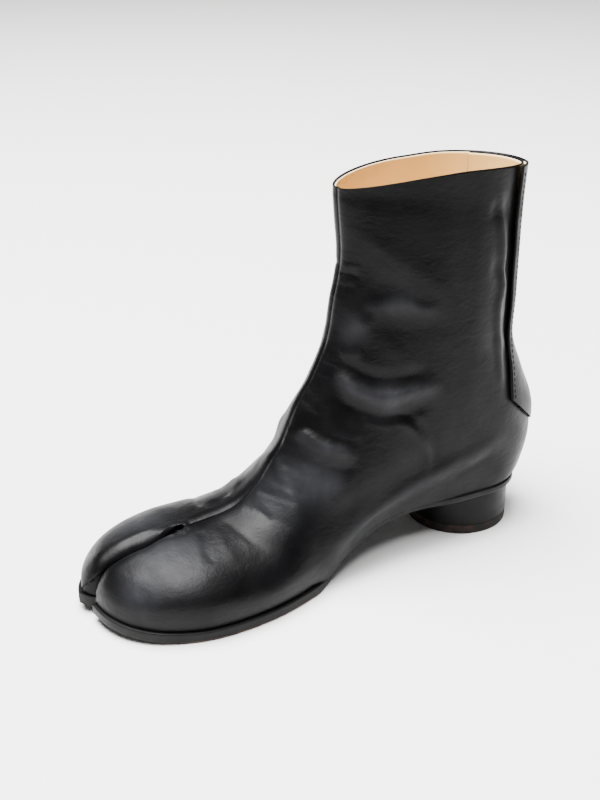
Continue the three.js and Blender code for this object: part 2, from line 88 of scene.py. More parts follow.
# Sections of the upper from the toe tip to the collar, as in the solids: places as shares of LENGTH and
# UPPER_RISE, half widths as shares of BALL_WIDTH
COLUMNS = [
    "low_ahead", "low_rise", "high_ahead", "high_rise",
    "medial", "lateral", "centre", "tuck", "belly", "crown",
]
SECTIONS = np.array([
    [0.8365, 0, 0.8386, 0.022, 0.475, 0.529, 1, 0.96, 0.6, 2.2],
    [0.8316, 0, 0.8351, 0.051, 0.475, 0.529, 1, 0.96, 0.55, 2.2],
    [0.8193, 0, 0.8246, 0.087, 0.475, 0.529, 1, 0.96, 0.5, 2.2],
    [0.7965, 0, 0.8053, 0.126, 0.475, 0.529, 1, 0.96, 0.42, 2.2],
    [0.7614, 0, 0.7649, 0.16, 0.475, 0.529, 1, 0.96, 0.38, 2.2],
    [0.7123, 0, 0.7158, 0.18, 0.475, 0.529, 1, 0.96, 0.34, 2.2],
    [0.6526, 0, 0.6561, 0.191, 0.485, 0.527, 1, 0.96, 0.32, 2.1],
    [0.5895, 0, 0.5965, 0.197, 0.485, 0.523, 1, 0.96, 0.3, 1.9],
    [0.5263, 0, 0.5333, 0.218, 0.467, 0.515, 1, 0.95, 0.27, 1.65],
    [0.4667, 0, 0.4842, 0.28, 0.425, 0.5, 1, 0.94, 0.24, 1.5],
    [0.407, 0, 0.4456, 0.363, 0.37, 0.47, 1, 0.92, 0.22, 1.45],
    [0.3404, 0, 0.407, 0.425, 0.33, 0.435, 0.9, 0.9, 0.22, 1.45],
    [0.2667, 0, 0.3675, 0.456, 0.31, 0.4, 0.7, 0.89, 0.23, 1.5],
    [0.1825, 0, 0.337, 0.525, 0.307, 0.38, 0.4, 0.89, 0.25, 1.6],
    [0.0912, 0, 0.323, 0.59, 0.32, 0.365, 0.2, 0.9, 0.28, 1.7],
    [0, 0, 0.316, 0.645, 0.33, 0.36, 0, 0.9, 0.32, 1.75],
    [-0.0702, 0, 0.311, 0.683, 0.335, 0.36, -0.1, 0.91, 0.36, 1.8],
    [-0.1158, 0, 0.305, 0.716, 0.335, 0.355, -0.2, 0.92, 0.4, 1.8],
    [-0.142, 0.071, 0.3, 0.749, 0.33, 0.35, -0.3, 0.94, 0.42, 1.8],
    [-0.156, 0.153, 0.296, 0.781, 0.325, 0.345, -0.4, 0.96, 0.44, 1.8],
    [-0.15, 0.251, 0.2945, 0.82, 0.315, 0.34, -0.5, 1, 0.46, 1.8],
    [-0.122, 0.361, 0.295, 0.858, 0.305, 0.33, -0.6, 1, 0.48, 1.8],
    [-0.0965, 0.475, 0.296, 0.891, 0.295, 0.325, -0.7, 1, 0.5, 1.8],
    [-0.1, 0.612, 0.2972, 0.923, 0.28, 0.315, -0.8, 1, 0.5, 1.8],
    [-0.102, 0.754, 0.2982, 0.956, 0.265, 0.31, -0.9, 1, 0.5, 1.8],
    [-0.106, 0.885, 0.2982, 0.978, 0.25, 0.31, -1, 1, 0.5, 1.8],
    [-0.111, 1.011, 0.2982, 0.997, 0.245, 0.31, -1, 1, 0.5, 1.8],
])
LAST_SECTION = len(SECTIONS) - 1
SEAT_SECTION = 17
TOE_TOP_SECTION = 6
CREST_SECTIONS = 4

# Lapped closure at the back
FLAP_THICKNESS = 0.0016
FLAP_GAP = 0.0005
FLAP_LIFT = 0.0016
FLAP_LIFT_WIDTH = 0.15 * BALL_WIDTH
FLAP_LOOSE = 0.02  # it stands off the form from this share of LENGTH behind the heel's middle
FLAP_MELT = 0.1  # and lies down on it over this share of LENGTH ahead of there
FLAP_FOOT = 0.11  # below this share of UPPER_RISE the flap lies flat on the form
FLAP_FOOT_FADE = 0.14
SLIT_FOOT = 0.29  # the two panels are sewn together below this share of UPPER_RISE
# Free edge of the flap in side view: ahead as a share of LENGTH, rise as a share of UPPER_RISE
FLAP_EDGE = np.array([
    [-0.058, 1.15], [-0.064, 0.765], [-0.062, 0.574], [-0.05, 0.41],
    [-0.043, 0.3], [-0.058, 0.225], [-0.092, 0.165], [-0.2, 0.13],
])
COLLAR_STEP = 0.0008  # the lining ends this far below the leather
TURNED_EDGE = 0.005  # the leather is folded in this far at the flap's edge
LASTING_MARGIN = 0.003  # the leather is turned in this far under the foot
MARGIN_START = 8.3  # the place where that begins; it ends at the seat
MARGIN_GAP = 0.0002
MARGIN_COLUMNS = 3
GUSSET_SEAM = 0.0008  # depth of the seam between a toe panel and the gusset
GUSSET_SEAM_DROP = 0.0018
GUSSET_SEAM_WIDTH = 0.0006
STITCH_INSET = 0.003  # from the flap's edge
STITCH_PITCH = 0.0033
STITCH_LENGTH = 0.0024
STITCH_START = 0.001
THREAD_RADIUS = 0.0003
STITCHES_FOOT = 0.2  # the row of stitches begins above this share of UPPER_RISE
# The inner panel ends here on the outer side, as a share of LENGTH behind the heel's middle
UNDERLAP_END = 0.056
LAP_ROUNDS = 6  # the flap's edge is found again at the height that each round reaches

# Seam over the instep: a groove, and the leather that swells beside it
SEAM_DEPTH = 0.0009
SEAM_WIDTH = 0.0012
SEAM_FADE = 0.004  # it fades in over this length behind the split
SEAM_LEAST_SPAN = 0.02
SEAM_SIDE_SHARE = 0.6
SWELL = 0.0003
SWELL_OFFSET = 0.004
SWELL_WIDTH = 0.003

# Rim sewn along the split: a roll at the edge and a groove behind it
RIM_ROLL = 0.0003
RIM_ROLL_OFFSET = 0.002
RIM_GROOVE = 0.0005
RIM_GROOVE_OFFSET = 0.0044
RIM_WIDTH = 0.0014
RIM_EDGE_FADE = 0.002
RIM_BEHIND = 0.007  # it runs from this far behind the split's rear
RIM_BEHIND_FADE = 0.006
RIM_AHEAD = 0.042  # to this far ahead of it
RIM_AHEAD_FADE = 0.025


def ease(t):
    s = np.clip(t, 0, 1)
    return s * s * (3 - 2 * s)


def mix(a, b, t):
    return a + (b - a) * t


def curve_at(a, b, c, d, t):
    """A smooth curve between b and c, with their neighbours a and d, at shares t."""
    return b + 0.5 * t * (c - a + t * (2 * a - 5 * b + 4 * c - d + t * (3 * (b - c) + d - a)))


def along(column, place):
    """One column of the table of sections at places between its rows, on a smooth curve."""
    values = SECTIONS[:, COLUMNS.index(column)]
    last = len(values) - 1
    at = np.clip(place, 0, last)
    row = np.minimum(np.floor(at).astype(int), last - 1)
    t = at - row
    return curve_at(*(values[np.clip(row + k, 0, last)] for k in (-1, 0, 1, 2)), t)


def underside_height(y):
    """Height of the sole's underside above the floor: level, sprung at the toe, arched at the waist."""
    ahead = -y
    toe_tip = SECTIONS[0][2] * LENGTH
    spring = np.maximum(0, ahead - SPRING_START) / (toe_tip - SPRING_START)
    waist = np.clip((ahead - HEEL_RADIUS) / (TREAD_START - HEEL_RADIUS), 0, 1)
    arch = HEEL_HEIGHT * (1 - ease(waist ** WAIST_CURVE))
    return np.where(ahead >= TREAD_START, TOE_SPRING * spring ** 2, arch)


def tread_share(y):
    """0 on the waist of the sole, 1 where its forepart is thick."""
    return ease((-y - TREAD_STEP_START) / TREAD_STEP_LENGTH)


def feather_height(y):
    """Height of the sole's top, where the upper meets it."""
    return underside_height(y) + mix(WAIST_THICKNESS, FOREPART_THICKNESS, tread_share(y))


def section_ends(place):
    """Side view of sections: y and z of their low and high ends."""
    low_y = -along("low_ahead", place) * LENGTH
    base = feather_height(low_y)
    low_z = base + np.maximum(0, along("low_rise", place)) * UPPER_RISE
    high_y = -along("high_ahead", place) * LENGTH
    high_z = base + along("high_rise", place) * UPPER_RISE
    return low_y, low_z, high_y, high_z


LINE_SAMPLES = 400


def line_samples(first, last, end):
    """Heights and y of the sections' low ends (end 0) or high ends (end 1), where they rise."""
    places = np.linspace(first, last, LINE_SAMPLES)
    ends = section_ends(places)
    y, z = ends[2 * end], ends[2 * end + 1]
    rising = np.concatenate([[True], z[1:] > np.maximum.accumulate(z)[:-1]])
    return z[rising], y[rising]


BACK_LINE = line_samples(SEAT_SECTION, LAST_SECTION, 0)
TOE_LINE = line_samples(0, TOE_TOP_SECTION, 1)


def split_half(from_rear, inset):
    """Half of the split's width at a distance from its rear end, widened by the inset."""
    t = from_rear + inset
    drop = DROP_WIDTH / 2 + inset
    drop_length = DROP_LENGTH + inset
    slot = SPLIT_GAP / 2 + inset
    round_end = np.where(t < drop, np.sqrt(np.maximum(drop ** 2 - (drop - t) ** 2, 0)), drop)
    neck = mix(round_end, slot, ease((t - drop) / (drop_length - drop)))
    radius = MOUTH_RADIUS - inset
    flare = np.clip(from_rear - (SPLIT_LENGTH - MOUTH_RADIUS), 0, radius)
    return np.where(t <= 0, 0, neck + radius - np.sqrt(radius ** 2 - flare ** 2))


SPLIT_REAR = -(SECTIONS[0][2] * LENGTH - SPLIT_LENGTH)
TINY = 1e-9


def roll_drop(x, y, inset):
    """How far the leather rolls down towards the split beside it."""
    from_rear = SPLIT_REAR - y
    radius = (POCKET_ROLL - inset) * ease(from_rear / ROLL_LENGTH)
    beside = np.maximum(0, np.abs(x - SPLIT_OFFSET) - split_half(np.maximum(from_rear, JUST_AHEAD), inset))
    t = np.clip(1 - beside / np.maximum(radius, TINY), 0, 1)
    return np.where(radius > 0, radius * (1 - np.sqrt(1 - t * t)), 0)


def toe_closing(y, z, side, inset):
    """Share of the half width that is left towards the toe."""
    start = -TOE_START[side] * LENGTH
    toe = np.interp(z + inset / 2, *TOE_LINE)
    tip = mix(start, toe, TOE_REACH[side]) + inset
    t = np.clip((start - y) / (start - tip), 0, 1)
    return (1 - t ** TOE_POWER[side]) ** (1 / TOE_POWER[side])


def back_closing(y, z, inset):
    """Share of the half width that is left towards the back."""
    back = np.interp(z, *BACK_LINE) - inset
    seat = feather_height(0)
    depth = mix(SEAT_ROUNDING, BACK_ROUNDING, ease((z - seat) / COUNTER_RISE)) * BALL_WIDTH - inset
    t = np.clip(1 - (back - y) / depth, 0, 1)
    return np.sqrt(1 - t * t)


def form_points(place, w, side, inset):
    """Points of the boot's form: place runs along the sections, w from their low to their high end."""
    place, w, inset = np.broadcast_arrays(np.asarray(place, float), w, inset)
    low_y, low_z, high_y, high_z = section_ends(place)
    span = np.hypot(high_y - low_y, high_z - low_z)
    on_back = np.clip((low_z - feather_height(low_y)) / (LEATHER + LINING), 0, 1)
    share = mix(on_back * inset / span, 1 - inset / span, w)
    y = mix(low_y, high_y, share)
    z = mix(low_z, high_z, share)
    belly = along("belly", place)
    crown = along("crown", place)
    above = np.clip((w - belly) / (1 - belly), 0, 1)
    below = np.clip(1 - w / belly, 0, 1)
    ridge = (1 - above ** crown) ** (1 / crown)
    tuck = 1 - (1 - along("tuck", place)) * below ** 2
    half = along("medial" if side > 0 else "lateral", place) * BALL_WIDTH - inset
    closing = toe_closing(y, z, side, inset) * back_closing(y, z, inset)
    x = along("centre", place) * SPLIT_OFFSET + side * half * ridge * tuck * closing
    base = feather_height(y)
    toe_box = SECTIONS[TOE_TOP_SECTION - 1][3] * UPPER_RISE
    crest = COLLAR_CREST[side] * ease((place - (LAST_SECTION - CREST_SECTIONS)) / CREST_SECTIONS)
    raised = z + crest * np.sin(math.pi * np.clip(w, 0, 1))
    rolled = base + (raised - base) * (1 - roll_drop(x, y, inset) / toe_box)
    pressed = np.where(raised > base, rolled, raised)
    return np.stack([x, y, pressed], axis=-1)


HALVINGS = 40


def root_of(function, low, high):
    """Where a falling function crosses zero between low and high, for arrays."""
    low, high = np.broadcast_arrays(np.asarray(low, float), np.asarray(high, float))
    low, high = low.copy(), high.copy()
    for _ in range(HALVINGS):
        middle = (low + high) / 2
        positive = function(middle) > 0
        low = np.where(positive, middle, low)
        high = np.where(positive, high, middle)
    return (low + high) / 2


def upper_height(rise):
    return feather_height(0) + rise * UPPER_RISE


# Rows of the leather panels, from the mouth of the split to the collar, and columns across them
ROWS_SPLIT = 72
ROWS_FOOT = 150
ROWS_LEG = 104
ACROSS = 88
WALL_COLUMNS = 14
LAP_COLUMNS = 26
EDGE_CROWDING = 0.97  # 0 spaces the columns evenly, 1 crowds them at both edges
WALL_CROWDING = 1.8
MOUTH_CORNER = 0.0003  # the first row is this wide
FIRST_ROWS = (0.0, 3.0)  # places between which a half's first row lies
SPLIT_REAR_ROWS = (4.0, 9.0)  # places between which the split's rear lies


def crowded(count):
    """Shares from 0 to 1 that lie closer together at both ends."""
    return 0.5 - 0.5 * np.cos(math.pi * np.linspace(0, 1, count + 1))


def beside_split(place, w, side, inset):
    """How far a point of the form lies outside the split."""
    x, y, _ = np.moveaxis(form_points(place, w, side, inset), -1, 0)
    return np.abs(x - SPLIT_OFFSET) - split_half(SPLIT_REAR - y, inset)


def panel_rows(side, inset):
    """Places of a panel's rows; the first ROWS_SPLIT of them lie beside the split."""
    corner = MOUTH_CORNER + inset
    first = root_of(lambda p: corner - beside_split(p, 0.0, side, inset), *FIRST_ROWS)

    def ahead_of_rear(place):
        return SPLIT_REAR + inset - form_points(place, 1.0, side, inset)[..., 1]
    rear = root_of(ahead_of_rear, *SPLIT_REAR_ROWS)
    ahead = mix(first, rear, crowded(ROWS_SPLIT))
    foot = mix(rear, SEAT_SECTION, np.linspace(0, 1, ROWS_FOOT + 1)[1:])
    leg = mix(SEAT_SECTION, LAST_SECTION, np.linspace(0, 1, ROWS_LEG + 1)[1:])
    return np.concatenate([ahead, foot, leg])


def lap_width(place, side, edge_y):
    """How far past the back line a panel runs on the other side, as w on its sections."""
    def short(w):
        return form_points(place, w, -side, 0.0)[..., 1] - edge_y
    reach = root_of(short, np.zeros_like(place), np.full_like(place, 0.5))
    return np.where(short(np.zeros_like(place)) > 0, reach, 0)


def smooth_line(points, samples):
    """A smooth curve through points, sampled evenly between them."""
    last = len(points) - 1
    at = np.linspace(0, last, samples)
    row = np.minimum(at.astype(int), last - 1)
    t = (at - row)[:, None]
    return curve_at(*(points[np.clip(row + k, 0, last)] for k in (-1, 0, 1, 2)), t)


FLAP_SAMPLES = 200
FLAP_LINE = smooth_line(FLAP_EDGE, FLAP_SAMPLES)
FLAP_LINE = FLAP_LINE[np.argsort(FLAP_LINE[:, 1])]


def flap_edge_y(z):
    """Where the flap's free edge lies at a height."""
    rise = (z - feather_height(0)) / UPPER_RISE
    return -np.interp(rise, FLAP_LINE[:, 1], FLAP_LINE[:, 0]) * LENGTH


def flap_offset(points, side):
    """How far the lapping panel stands off the form."""
    x, y, z = np.moveaxis(points, -1, 0)
    loose = 1 if side > 0 else ease((y - (FLAP_LOOSE - FLAP_MELT) * LENGTH) / (FLAP_MELT * LENGTH))
    up = ease((z - upper_height(SLIT_FOOT)) / (UPPER_RISE * (1 - SLIT_FOOT)))
    across = np.clip(x / FLAP_LIFT_WIDTH, 0, 1)
    room = FLAP_GAP + FLAP_LIFT * up * across
    low = ease((z - upper_height(FLAP_FOOT)) / (FLAP_FOOT_FADE * UPPER_RISE))
    return loose * low * (room + FLAP_THICKNESS)


def bell(distance, middle, width):
    """1 at the middle, falling softly to 0 on both sides."""
    return np.exp(-(((distance - middle) / width) ** 2))


def front_seam(w, place, points):
    """Depth of the seam that closes the two panels over the instep."""
    behind = np.clip((points[..., 1] - SPLIT_REAR) / SEAM_FADE, 0, 1)
    _, low_z, _, high_z = section_ends(place)
    beside = np.abs(points[..., 0] - along("centre", place) * SPLIT_OFFSET)
    from_ridge = (1 - w) * np.hypot(high_z - low_z, SEAM_LEAST_SPAN) + beside * SEAM_SIDE_SHARE
    groove = SEAM_DEPTH * bell(from_ridge, 0, SEAM_WIDTH)
    swell = SWELL * bell(from_ridge, SWELL_OFFSET, SWELL_WIDTH)
    return behind * (groove - swell)


# Creases and folds of the worn leather, in mm: depth (below zero for a ridge), width, then the line
FOLDS = [
    # ankle fold on the inner side: a roll of leather with a hollow above and below it
    (-2.8, 4.7, [
        (11, -95, 117), (16, -91, 111), (21, -83, 105), (26, -72, 101), (29, -59, 102), (31, -46, 104),
        (32, -36, 108),
    ]),
    (1.6, 4.5, [(14, -96, 107), (21, -88, 98), (27, -73, 93), (30, -56, 93), (31, -42, 97)]),
    (1.3, 3.6, [(9, -93, 125), (17, -85, 119), (23, -73, 113), (28, -58, 113), (30, -42, 115)]),
    # second roll over the instep
    (-2.2, 4.4, [(8, -118, 86), (16, -114, 83), (23, -108, 79), (27, -99, 76), (31, -87, 71)]),
    (1.3, 4.0, [(13, -120, 76), (23, -113, 71), (28, -104, 67), (32, -92, 63)]),
    (0.7, 3.5, [(8, -116, 90), (16, -111, 87), (24, -104, 84), (28, -92, 78)]),
    # fine wrinkles on and below the rolls
    (0.45, 1.5, [(19, -86, 108), (24, -76, 103), (28, -66, 101)]),
    (-0.5, 1.6, [(26, -74, 96), (29, -62, 94), (31, -50, 96)]),
    (0.4, 1.6, [(27, -68, 106), (30, -54, 106), (32, -42, 109)]),
    (-0.6, 2.0, [(22, -84, 92), (26, -76, 87), (30, -66, 86)]),
    (0.4, 1.5, [(15, -114, 84), (21, -110, 81), (25, -104, 79)]),
    (-0.5, 1.8, [(21, -104, 88), (26, -94, 84), (29, -84, 82)]),
    (-0.45, 1.8, [(24, -112, 68), (29, -103, 65), (33, -92, 62)]),
    (-0.5, 2.0, [(12, -127, 66), (19, -122, 63), (27, -114, 58)]),
    (0.45, 1.8, [(12, -132, 61), (20, -127, 58), (28, -119, 54)]),
    # curved crease over the heel's side
    (-0.8, 2.6, [(28, -72, 90), (31, -62, 86), (33, -54, 79), (34, -48, 70), (34, -45, 60), (34, -47, 50)]),
    (0.6, 3.0, [(29, -70, 95), (31, -58, 90), (33, -49, 82), (34, -42, 72), (34, -39, 60)]),
    # soft dents of the leg
    (-1.2, 3.6, [(13, -79, 155), (17, -71, 151), (22, -57, 152), (25, -47, 148), (28, -36, 149)]),
    (0.6, 6.0, [(13, -76, 163), (18, -66, 163), (23, -50, 162)]),
    (0.5, 6.0, [(16, -80, 141), (21, -65, 139), (27, -45, 138), (29, -25, 139)]),
    (-0.7, 3.0, [(11, -90, 124), (14, -86, 126), (18, -79, 127)]),
    (-0.5, 2.2, [(14, -81, 140), (17, -75, 144), (19, -68, 149)]),
    # short wrinkles beside the front seam
    (0.6, 1.7, [(1, -85, 167), (5, -83, 168), (9, -78, 168)]),
    (-0.35, 2.0, [(1, -85, 171), (6, -82, 172), (10, -76, 172)]),
    (0.45, 1.6, [(2, -87, 160), (6, -84, 161), (9, -80, 161)]),
    (0.5, 1.7, [(3, -97, 123), (8, -94, 121), (12, -90, 120)]),
    (0.45, 1.6, [(3, -100, 116), (8, -97, 114), (12, -94, 113)]),
    (0.5, 1.7, [(4, -109, 101), (9, -107, 98), (14, -103, 96)]),
    (0.55, 1.7, [(4, -117, 89), (9, -115, 86), (14, -112, 84)]),
    (0.45, 1.7, [(5, -124, 76), (10, -122, 73), (16, -119, 71)]),
    # creases over the ball of the foot
    (0.35, 1.9, [(10, -151, 48), (17, -147, 48), (25, -142, 46), (31, -136, 44), (38, -129, 39)]),
    (0.35, 2.6, [(9, -161, 44), (17, -160, 43), (26, -157, 41), (35, -152, 38), (41, -147, 32)]),
    (0.5, 1.8, [(8, -141, 55), (15, -137, 55), (23, -131, 54), (30, -124, 50)]),
    (0.4, 1.7, [(16, -146, 50), (23, -143, 48), (30, -142, 45)]),
    (-0.35, 3.6, [(10, -155, 46), (20, -152, 45), (30, -147, 43), (40, -140, 35)]),
    (0.3, 2.8, [(12, -177, 41), (22, -178, 40), (32, -180, 37), (40, -179, 33)]),
    (-0.3, 4.0, [(12, -170, 43), (22, -170, 42), (34, -170, 38), (42, -168, 31)]),
    # the side pulled in above the sole, from the ball to the heel
    (-1.6, 5.0, [(40, -112, 22), (36, -92, 32), (34, -70, 40), (34, -40, 50), (34, -12, 57), (32, 8, 65)]),
    (1.0, 7.0, [(40, -120, 34), (36, -95, 46), (35, -70, 54), (34, -45, 62), (34, -22, 68)]),
    (0.5, 2.2, [(34, -30, 44), (33, -12, 50), (32, 2, 55)]),
    # bend of the inner panel where it turns round to the back
    (-1.5, 3.2, [(18, 3, 215), (19, 6, 179), (21, 8, 151), (24, 4, 139), (27, 6, 110), (31, 3, 84)]),
    (1.6, 4.5, [(15, 15, 215), (16, 17, 179), (18, 19, 151), (20, 17, 130), (25, 17, 104)]),
    (0.8, 6.0, [(15, -6, 197), (18, 6, 194), (15, 16, 193)]),
    (0.9, 6.0, [(17, -6, 164), (19, 8, 161), (16, 17, 160)]),
    (-0.7, 5.0, [(22, -2, 120), (25, 9, 118), (22, 17, 117)]),
    # outer side
    (-1.6, 6.0, [(-9, -96, 112), (-18, -90, 104), (-25, -78, 98), (-31, -60, 96), (-34, -40, 97)]),
    (1.1, 5.0, [(-11, -99, 102), (-20, -92, 94), (-28, -78, 88), (-34, -58, 86)]),
    (0.8, 4.0, [(-9, -92, 122), (-18, -84, 114), (-26, -70, 109), (-31, -50, 108)]),
    (-1.2, 5.0, [(-8, -118, 84), (-18, -112, 78), (-28, -102, 71), (-35, -88, 65)]),
    (0.9, 4.5, [(-10, -122, 75), (-21, -115, 68), (-31, -104, 61)]),
    (0.8, 2.2, [(-6, -152, 48), (-16, -149, 46), (-28, -146, 42), (-40, -143, 34)]),
    (-0.6, 3.0, [(-8, -145, 52), (-20, -142, 49), (-33, -139, 42)]),
    (0.7, 2.2, [(-8, -166, 43), (-20, -163, 42), (-33, -160, 37), (-44, -157, 28)]),
    (-0.5, 3.0, [(-8, -159, 46), (-22, -156, 44), (-36, -152, 37)]),
    (-0.7, 5.0, [(-12, -76, 156), (-21, -62, 152), (-27, -44, 153)]),
    (0.6, 5.0, [(-12, -78, 144), (-22, -62, 140), (-29, -42, 141)]),
    (0.5, 1.8, [(-3, -84, 172), (-9, -79, 171), (-13, -72, 172)]),
    (0.5, 1.8, [(-4, -91, 138), (-11, -85, 136), (-17, -77, 136)]),
    (-0.9, 5.0, [(-42, -108, 24), (-38, -88, 34), (-37, -62, 42), (-36, -34, 48), (-35, -6, 52)]),
    (0.8, 6.0, [(-42, -112, 36), (-38, -90, 46), (-36, -62, 54), (-36, -34, 61)]),
]
MM = 0.001
FOLD_STEPS = 5  # samples between two points of a fold's line
FOLD_REACH = 3  # a fold is as good as flat at this many widths
FOLD_ENDS = 4  # it fades over its first and its last fourth
FOLDS_START = 0.002  # the folds begin this far above the sole
FOLDS_START_FADE = 0.01
# Points of the form from which the nearest ones are taken
CLOUD_FIRST_PLACE = 3
CLOUD_FIRST_W = 0.02
CLOUD_ROWS = 460
CLOUD_COLUMNS = 150


def laid_on_form(line):
    """Moves a line's points to the nearest places on the boot's form."""
    side = 1 if line[:, 0].sum() > 0 else -1
    rows = np.linspace(CLOUD_FIRST_PLACE, LAST_SECTION, CLOUD_ROWS)
    columns = np.linspace(CLOUD_FIRST_W, 1, CLOUD_COLUMNS)
    place, w = np.meshgrid(rows, columns, indexing="ij")
    cloud = form_points(place, w, side, 0.0).reshape(-1, 3)
    laid = np.array([cloud[np.argmin(((cloud - point) ** 2).sum(1))] for point in line])
    padded = np.concatenate([laid[:1], laid, laid[-1:]])
    return (padded[:-2] + padded[1:-1] + padded[2:]) / 3


def fold_line(points):
    samples = FOLD_STEPS * (len(points) - 1) + 1
    return laid_on_form(smooth_line(np.array(points) * MM, samples))


FOLD_LINES = [(depth * MM, width * MM, fold_line(points)) for depth, width, points in FOLDS]


def fold_depth(points):
    """Sum of the soft troughs and ridges at points of the form."""
    flat = points.reshape(-1, 3)
    total = np.zeros(len(flat))
    for depth, width, line in FOLD_LINES:
        low, high = line.min(0) - FOLD_REACH * width, line.max(0) + FOLD_REACH * width
        near = np.nonzero(((flat >= low) & (flat <= high)).all(1))[0]
        if len(near) == 0:
            continue
        at = flat[near][:, None, :]
        a, run = line[:-1], np.diff(line, axis=0)
        t = np.clip(((at - a) * run).sum(-1) / (run ** 2).sum(-1), 0, 1)
        gap = np.linalg.norm(at - (a + t[..., None] * run), axis=-1)
        nearest = gap.argmin(1)
        along_line = (nearest + t[np.arange(len(near)), nearest]) / len(run)
        fade = np.clip(FOLD_ENDS * along_line, 0, 1) * np.clip(FOLD_ENDS * (1 - along_line), 0, 1)
        total[near] += depth * ease(fade) * bell(gap.min(1), 0, width)
    above_sole = ease((points[..., 2] - feather_height(points[..., 1]) - FOLDS_START) / FOLDS_START_FADE)
    return total.reshape(points.shape[:-1]) * above_sole


# Places where the leather is painted paler, in mm: middle and radius; partly leather rubbed dull, partly a
# painted highlight where the light from above falls on the toe and the folds
RUBBED_AND_SHEEN_SPOTS = [
    ((30, -205, 36), 17), ((26, -190, 40), 12), ((34, -218, 26), 10), ((20, -138, 54), 13),
    ((26, -120, 62), 12), ((30, -108, 60), 10), ((24, -60, 152), 7), ((26, -70, 100), 9),
    ((-20, -200, 37), 18), ((-26, -140, 50), 12), ((-22, -62, 152), 10), ((33, 10, 60), 8),
    ((14, -84, 139), 7),
]
RUBBED_AND_SHEEN_MOST = 0.8
FULLY_WORN_AND_SHEEN_RIDGE = 2.8 * MM
CREST_POWER = 1.4


def wear_and_sheen_of(points):
    """How much paler the leather is painted, from 0 to 1, on the crests of the folds and on the toes:
    partly rubbed wear, partly a painted highlight where the light from above catches them.
    """
    total = np.zeros(points.shape[:-1])
    for middle, radius in RUBBED_AND_SHEEN_SPOTS:
        gap = np.linalg.norm(points - np.array(middle) * MM, axis=-1)
        total += RUBBED_AND_SHEEN_MOST * bell(gap, 0, radius * MM)
    # the crests of the folds face the light from above, so they get a painted highlight as well as wear
    crest = np.clip(-fold_depth(points) / FULLY_WORN_AND_SHEEN_RIDGE, 0, 1)
    return np.clip(total + crest ** CREST_POWER, 0, 1)


def split_edge(points):
    """Sewn rim along the split: a small roll at the edge and a groove behind it."""
    x, y, _ = np.moveaxis(points, -1, 0)
    from_rear = SPLIT_REAR - y
    beside = np.abs(x - SPLIT_OFFSET) - split_half(np.maximum(from_rear, JUST_AHEAD), 0.0)
    gap = np.hypot(np.maximum(beside, 0), np.minimum(from_rear, 0))
    behind = ease((from_rear + RIM_BEHIND) / RIM_BEHIND_FADE)
    ahead = ease((RIM_AHEAD - from_rear) / RIM_AHEAD_FADE)
    groove = RIM_GROOVE * bell(gap, RIM_GROOVE_OFFSET, RIM_WIDTH)
    roll = RIM_ROLL * bell(gap, RIM_ROLL_OFFSET, RIM_WIDTH)
    return behind * ahead * ease(gap / RIM_EDGE_FADE) * (groove - roll)


PLACE_STEP = 0.02


def edge_point(place, side, out):
    """A point of the upper's lower outline, moved outward in plan."""
    before = form_points(np.maximum(place - PLACE_STEP, 0), 0.0, side, 0.0)
    after = form_points(np.minimum(place + PLACE_STEP, SEAT_SECTION), 0.0, side, 0.0)
    at = form_points(place, 0.0, side, 0.0)
    run = after - before
    length = np.hypot(run[..., 0], run[..., 1]) * side
    return at[..., 0] + out * run[..., 1] / length, at[..., 1] - out * run[..., 0] / length


SAME_PLACE = 0.01


def on_sole(place):
    """Whether sections stand on the sole, ahead of the rising back."""
    return place <= SEAT_SECTION + SAME_PLACE


def lap_reach(places, side, depth):
    """Width of the part of a panel that runs past the back line."""
    back = form_points(places, 0.0, -side, 0.0)
    if side > 0:
        open_slit = back[..., 2] > upper_height(SLIT_FOOT)
        return np.where(open_slit, lap_width(places, side, UNDERLAP_END * LENGTH), 0)
    turned = TURNED_EDGE if depth > 0 else 0
    edge_y = flap_edge_y(back[..., 2])
    for _ in range(LAP_ROUNDS):
        width = lap_width(places, side, edge_y + turned)
        edge_y = flap_edge_y(form_points(places, width, -side, 0.0)[..., 2])
    return width


def lap_points(places, side, depth):
    """Columns past the back line, and the leather's margin turned in under the foot."""
    share = np.linspace(1, 0, LAP_COLUMNS + 1)[None, :-1]
    w = lap_reach(places, side, depth)[:, None] * share
    outer = form_points(places[:, None], w, -side, 0.0)
    lifted = -flap_offset(outer, 1) if side < 0 else 0.0
    lap = form_points(places[:, None], w, -side, depth + lifted + fold_depth(outer))
    lap[on_sole(places)] = np.nan
    if depth == 0:
        turned = (places >= MARGIN_START) & on_sole(places)
        for column in range(1, MARGIN_COLUMNS + 1):
            x, y = edge_point(places[turned], side, -LASTING_MARGIN * column / MARGIN_COLUMNS)
            lap[turned, -column] = np.stack([x, y, feather_height(y)], axis=-1)
    return lap, wear_and_sheen_of(outer)


def gusset_points(top, side, depth):
    """Columns that run down into the split from its edge, with the seam that holds the gusset."""
    down = np.linspace(0, 1, WALL_COLUMNS + 1)[None, 1:, None] ** WALL_CROWDING
    foot = top.copy()
    foot[:, 2] = feather_height(top[:, 1])
    wall = mix(top[:, None, :], foot[:, None, :], down)
    if depth == 0:
        below = top[:, None, 2] - wall[..., 2]
        wall[..., 0] += side * GUSSET_SEAM * bell(below, GUSSET_SEAM_DROP, GUSSET_SEAM_WIDTH)
    wall[ROWS_SPLIT + 1:] = np.nan
    return wall


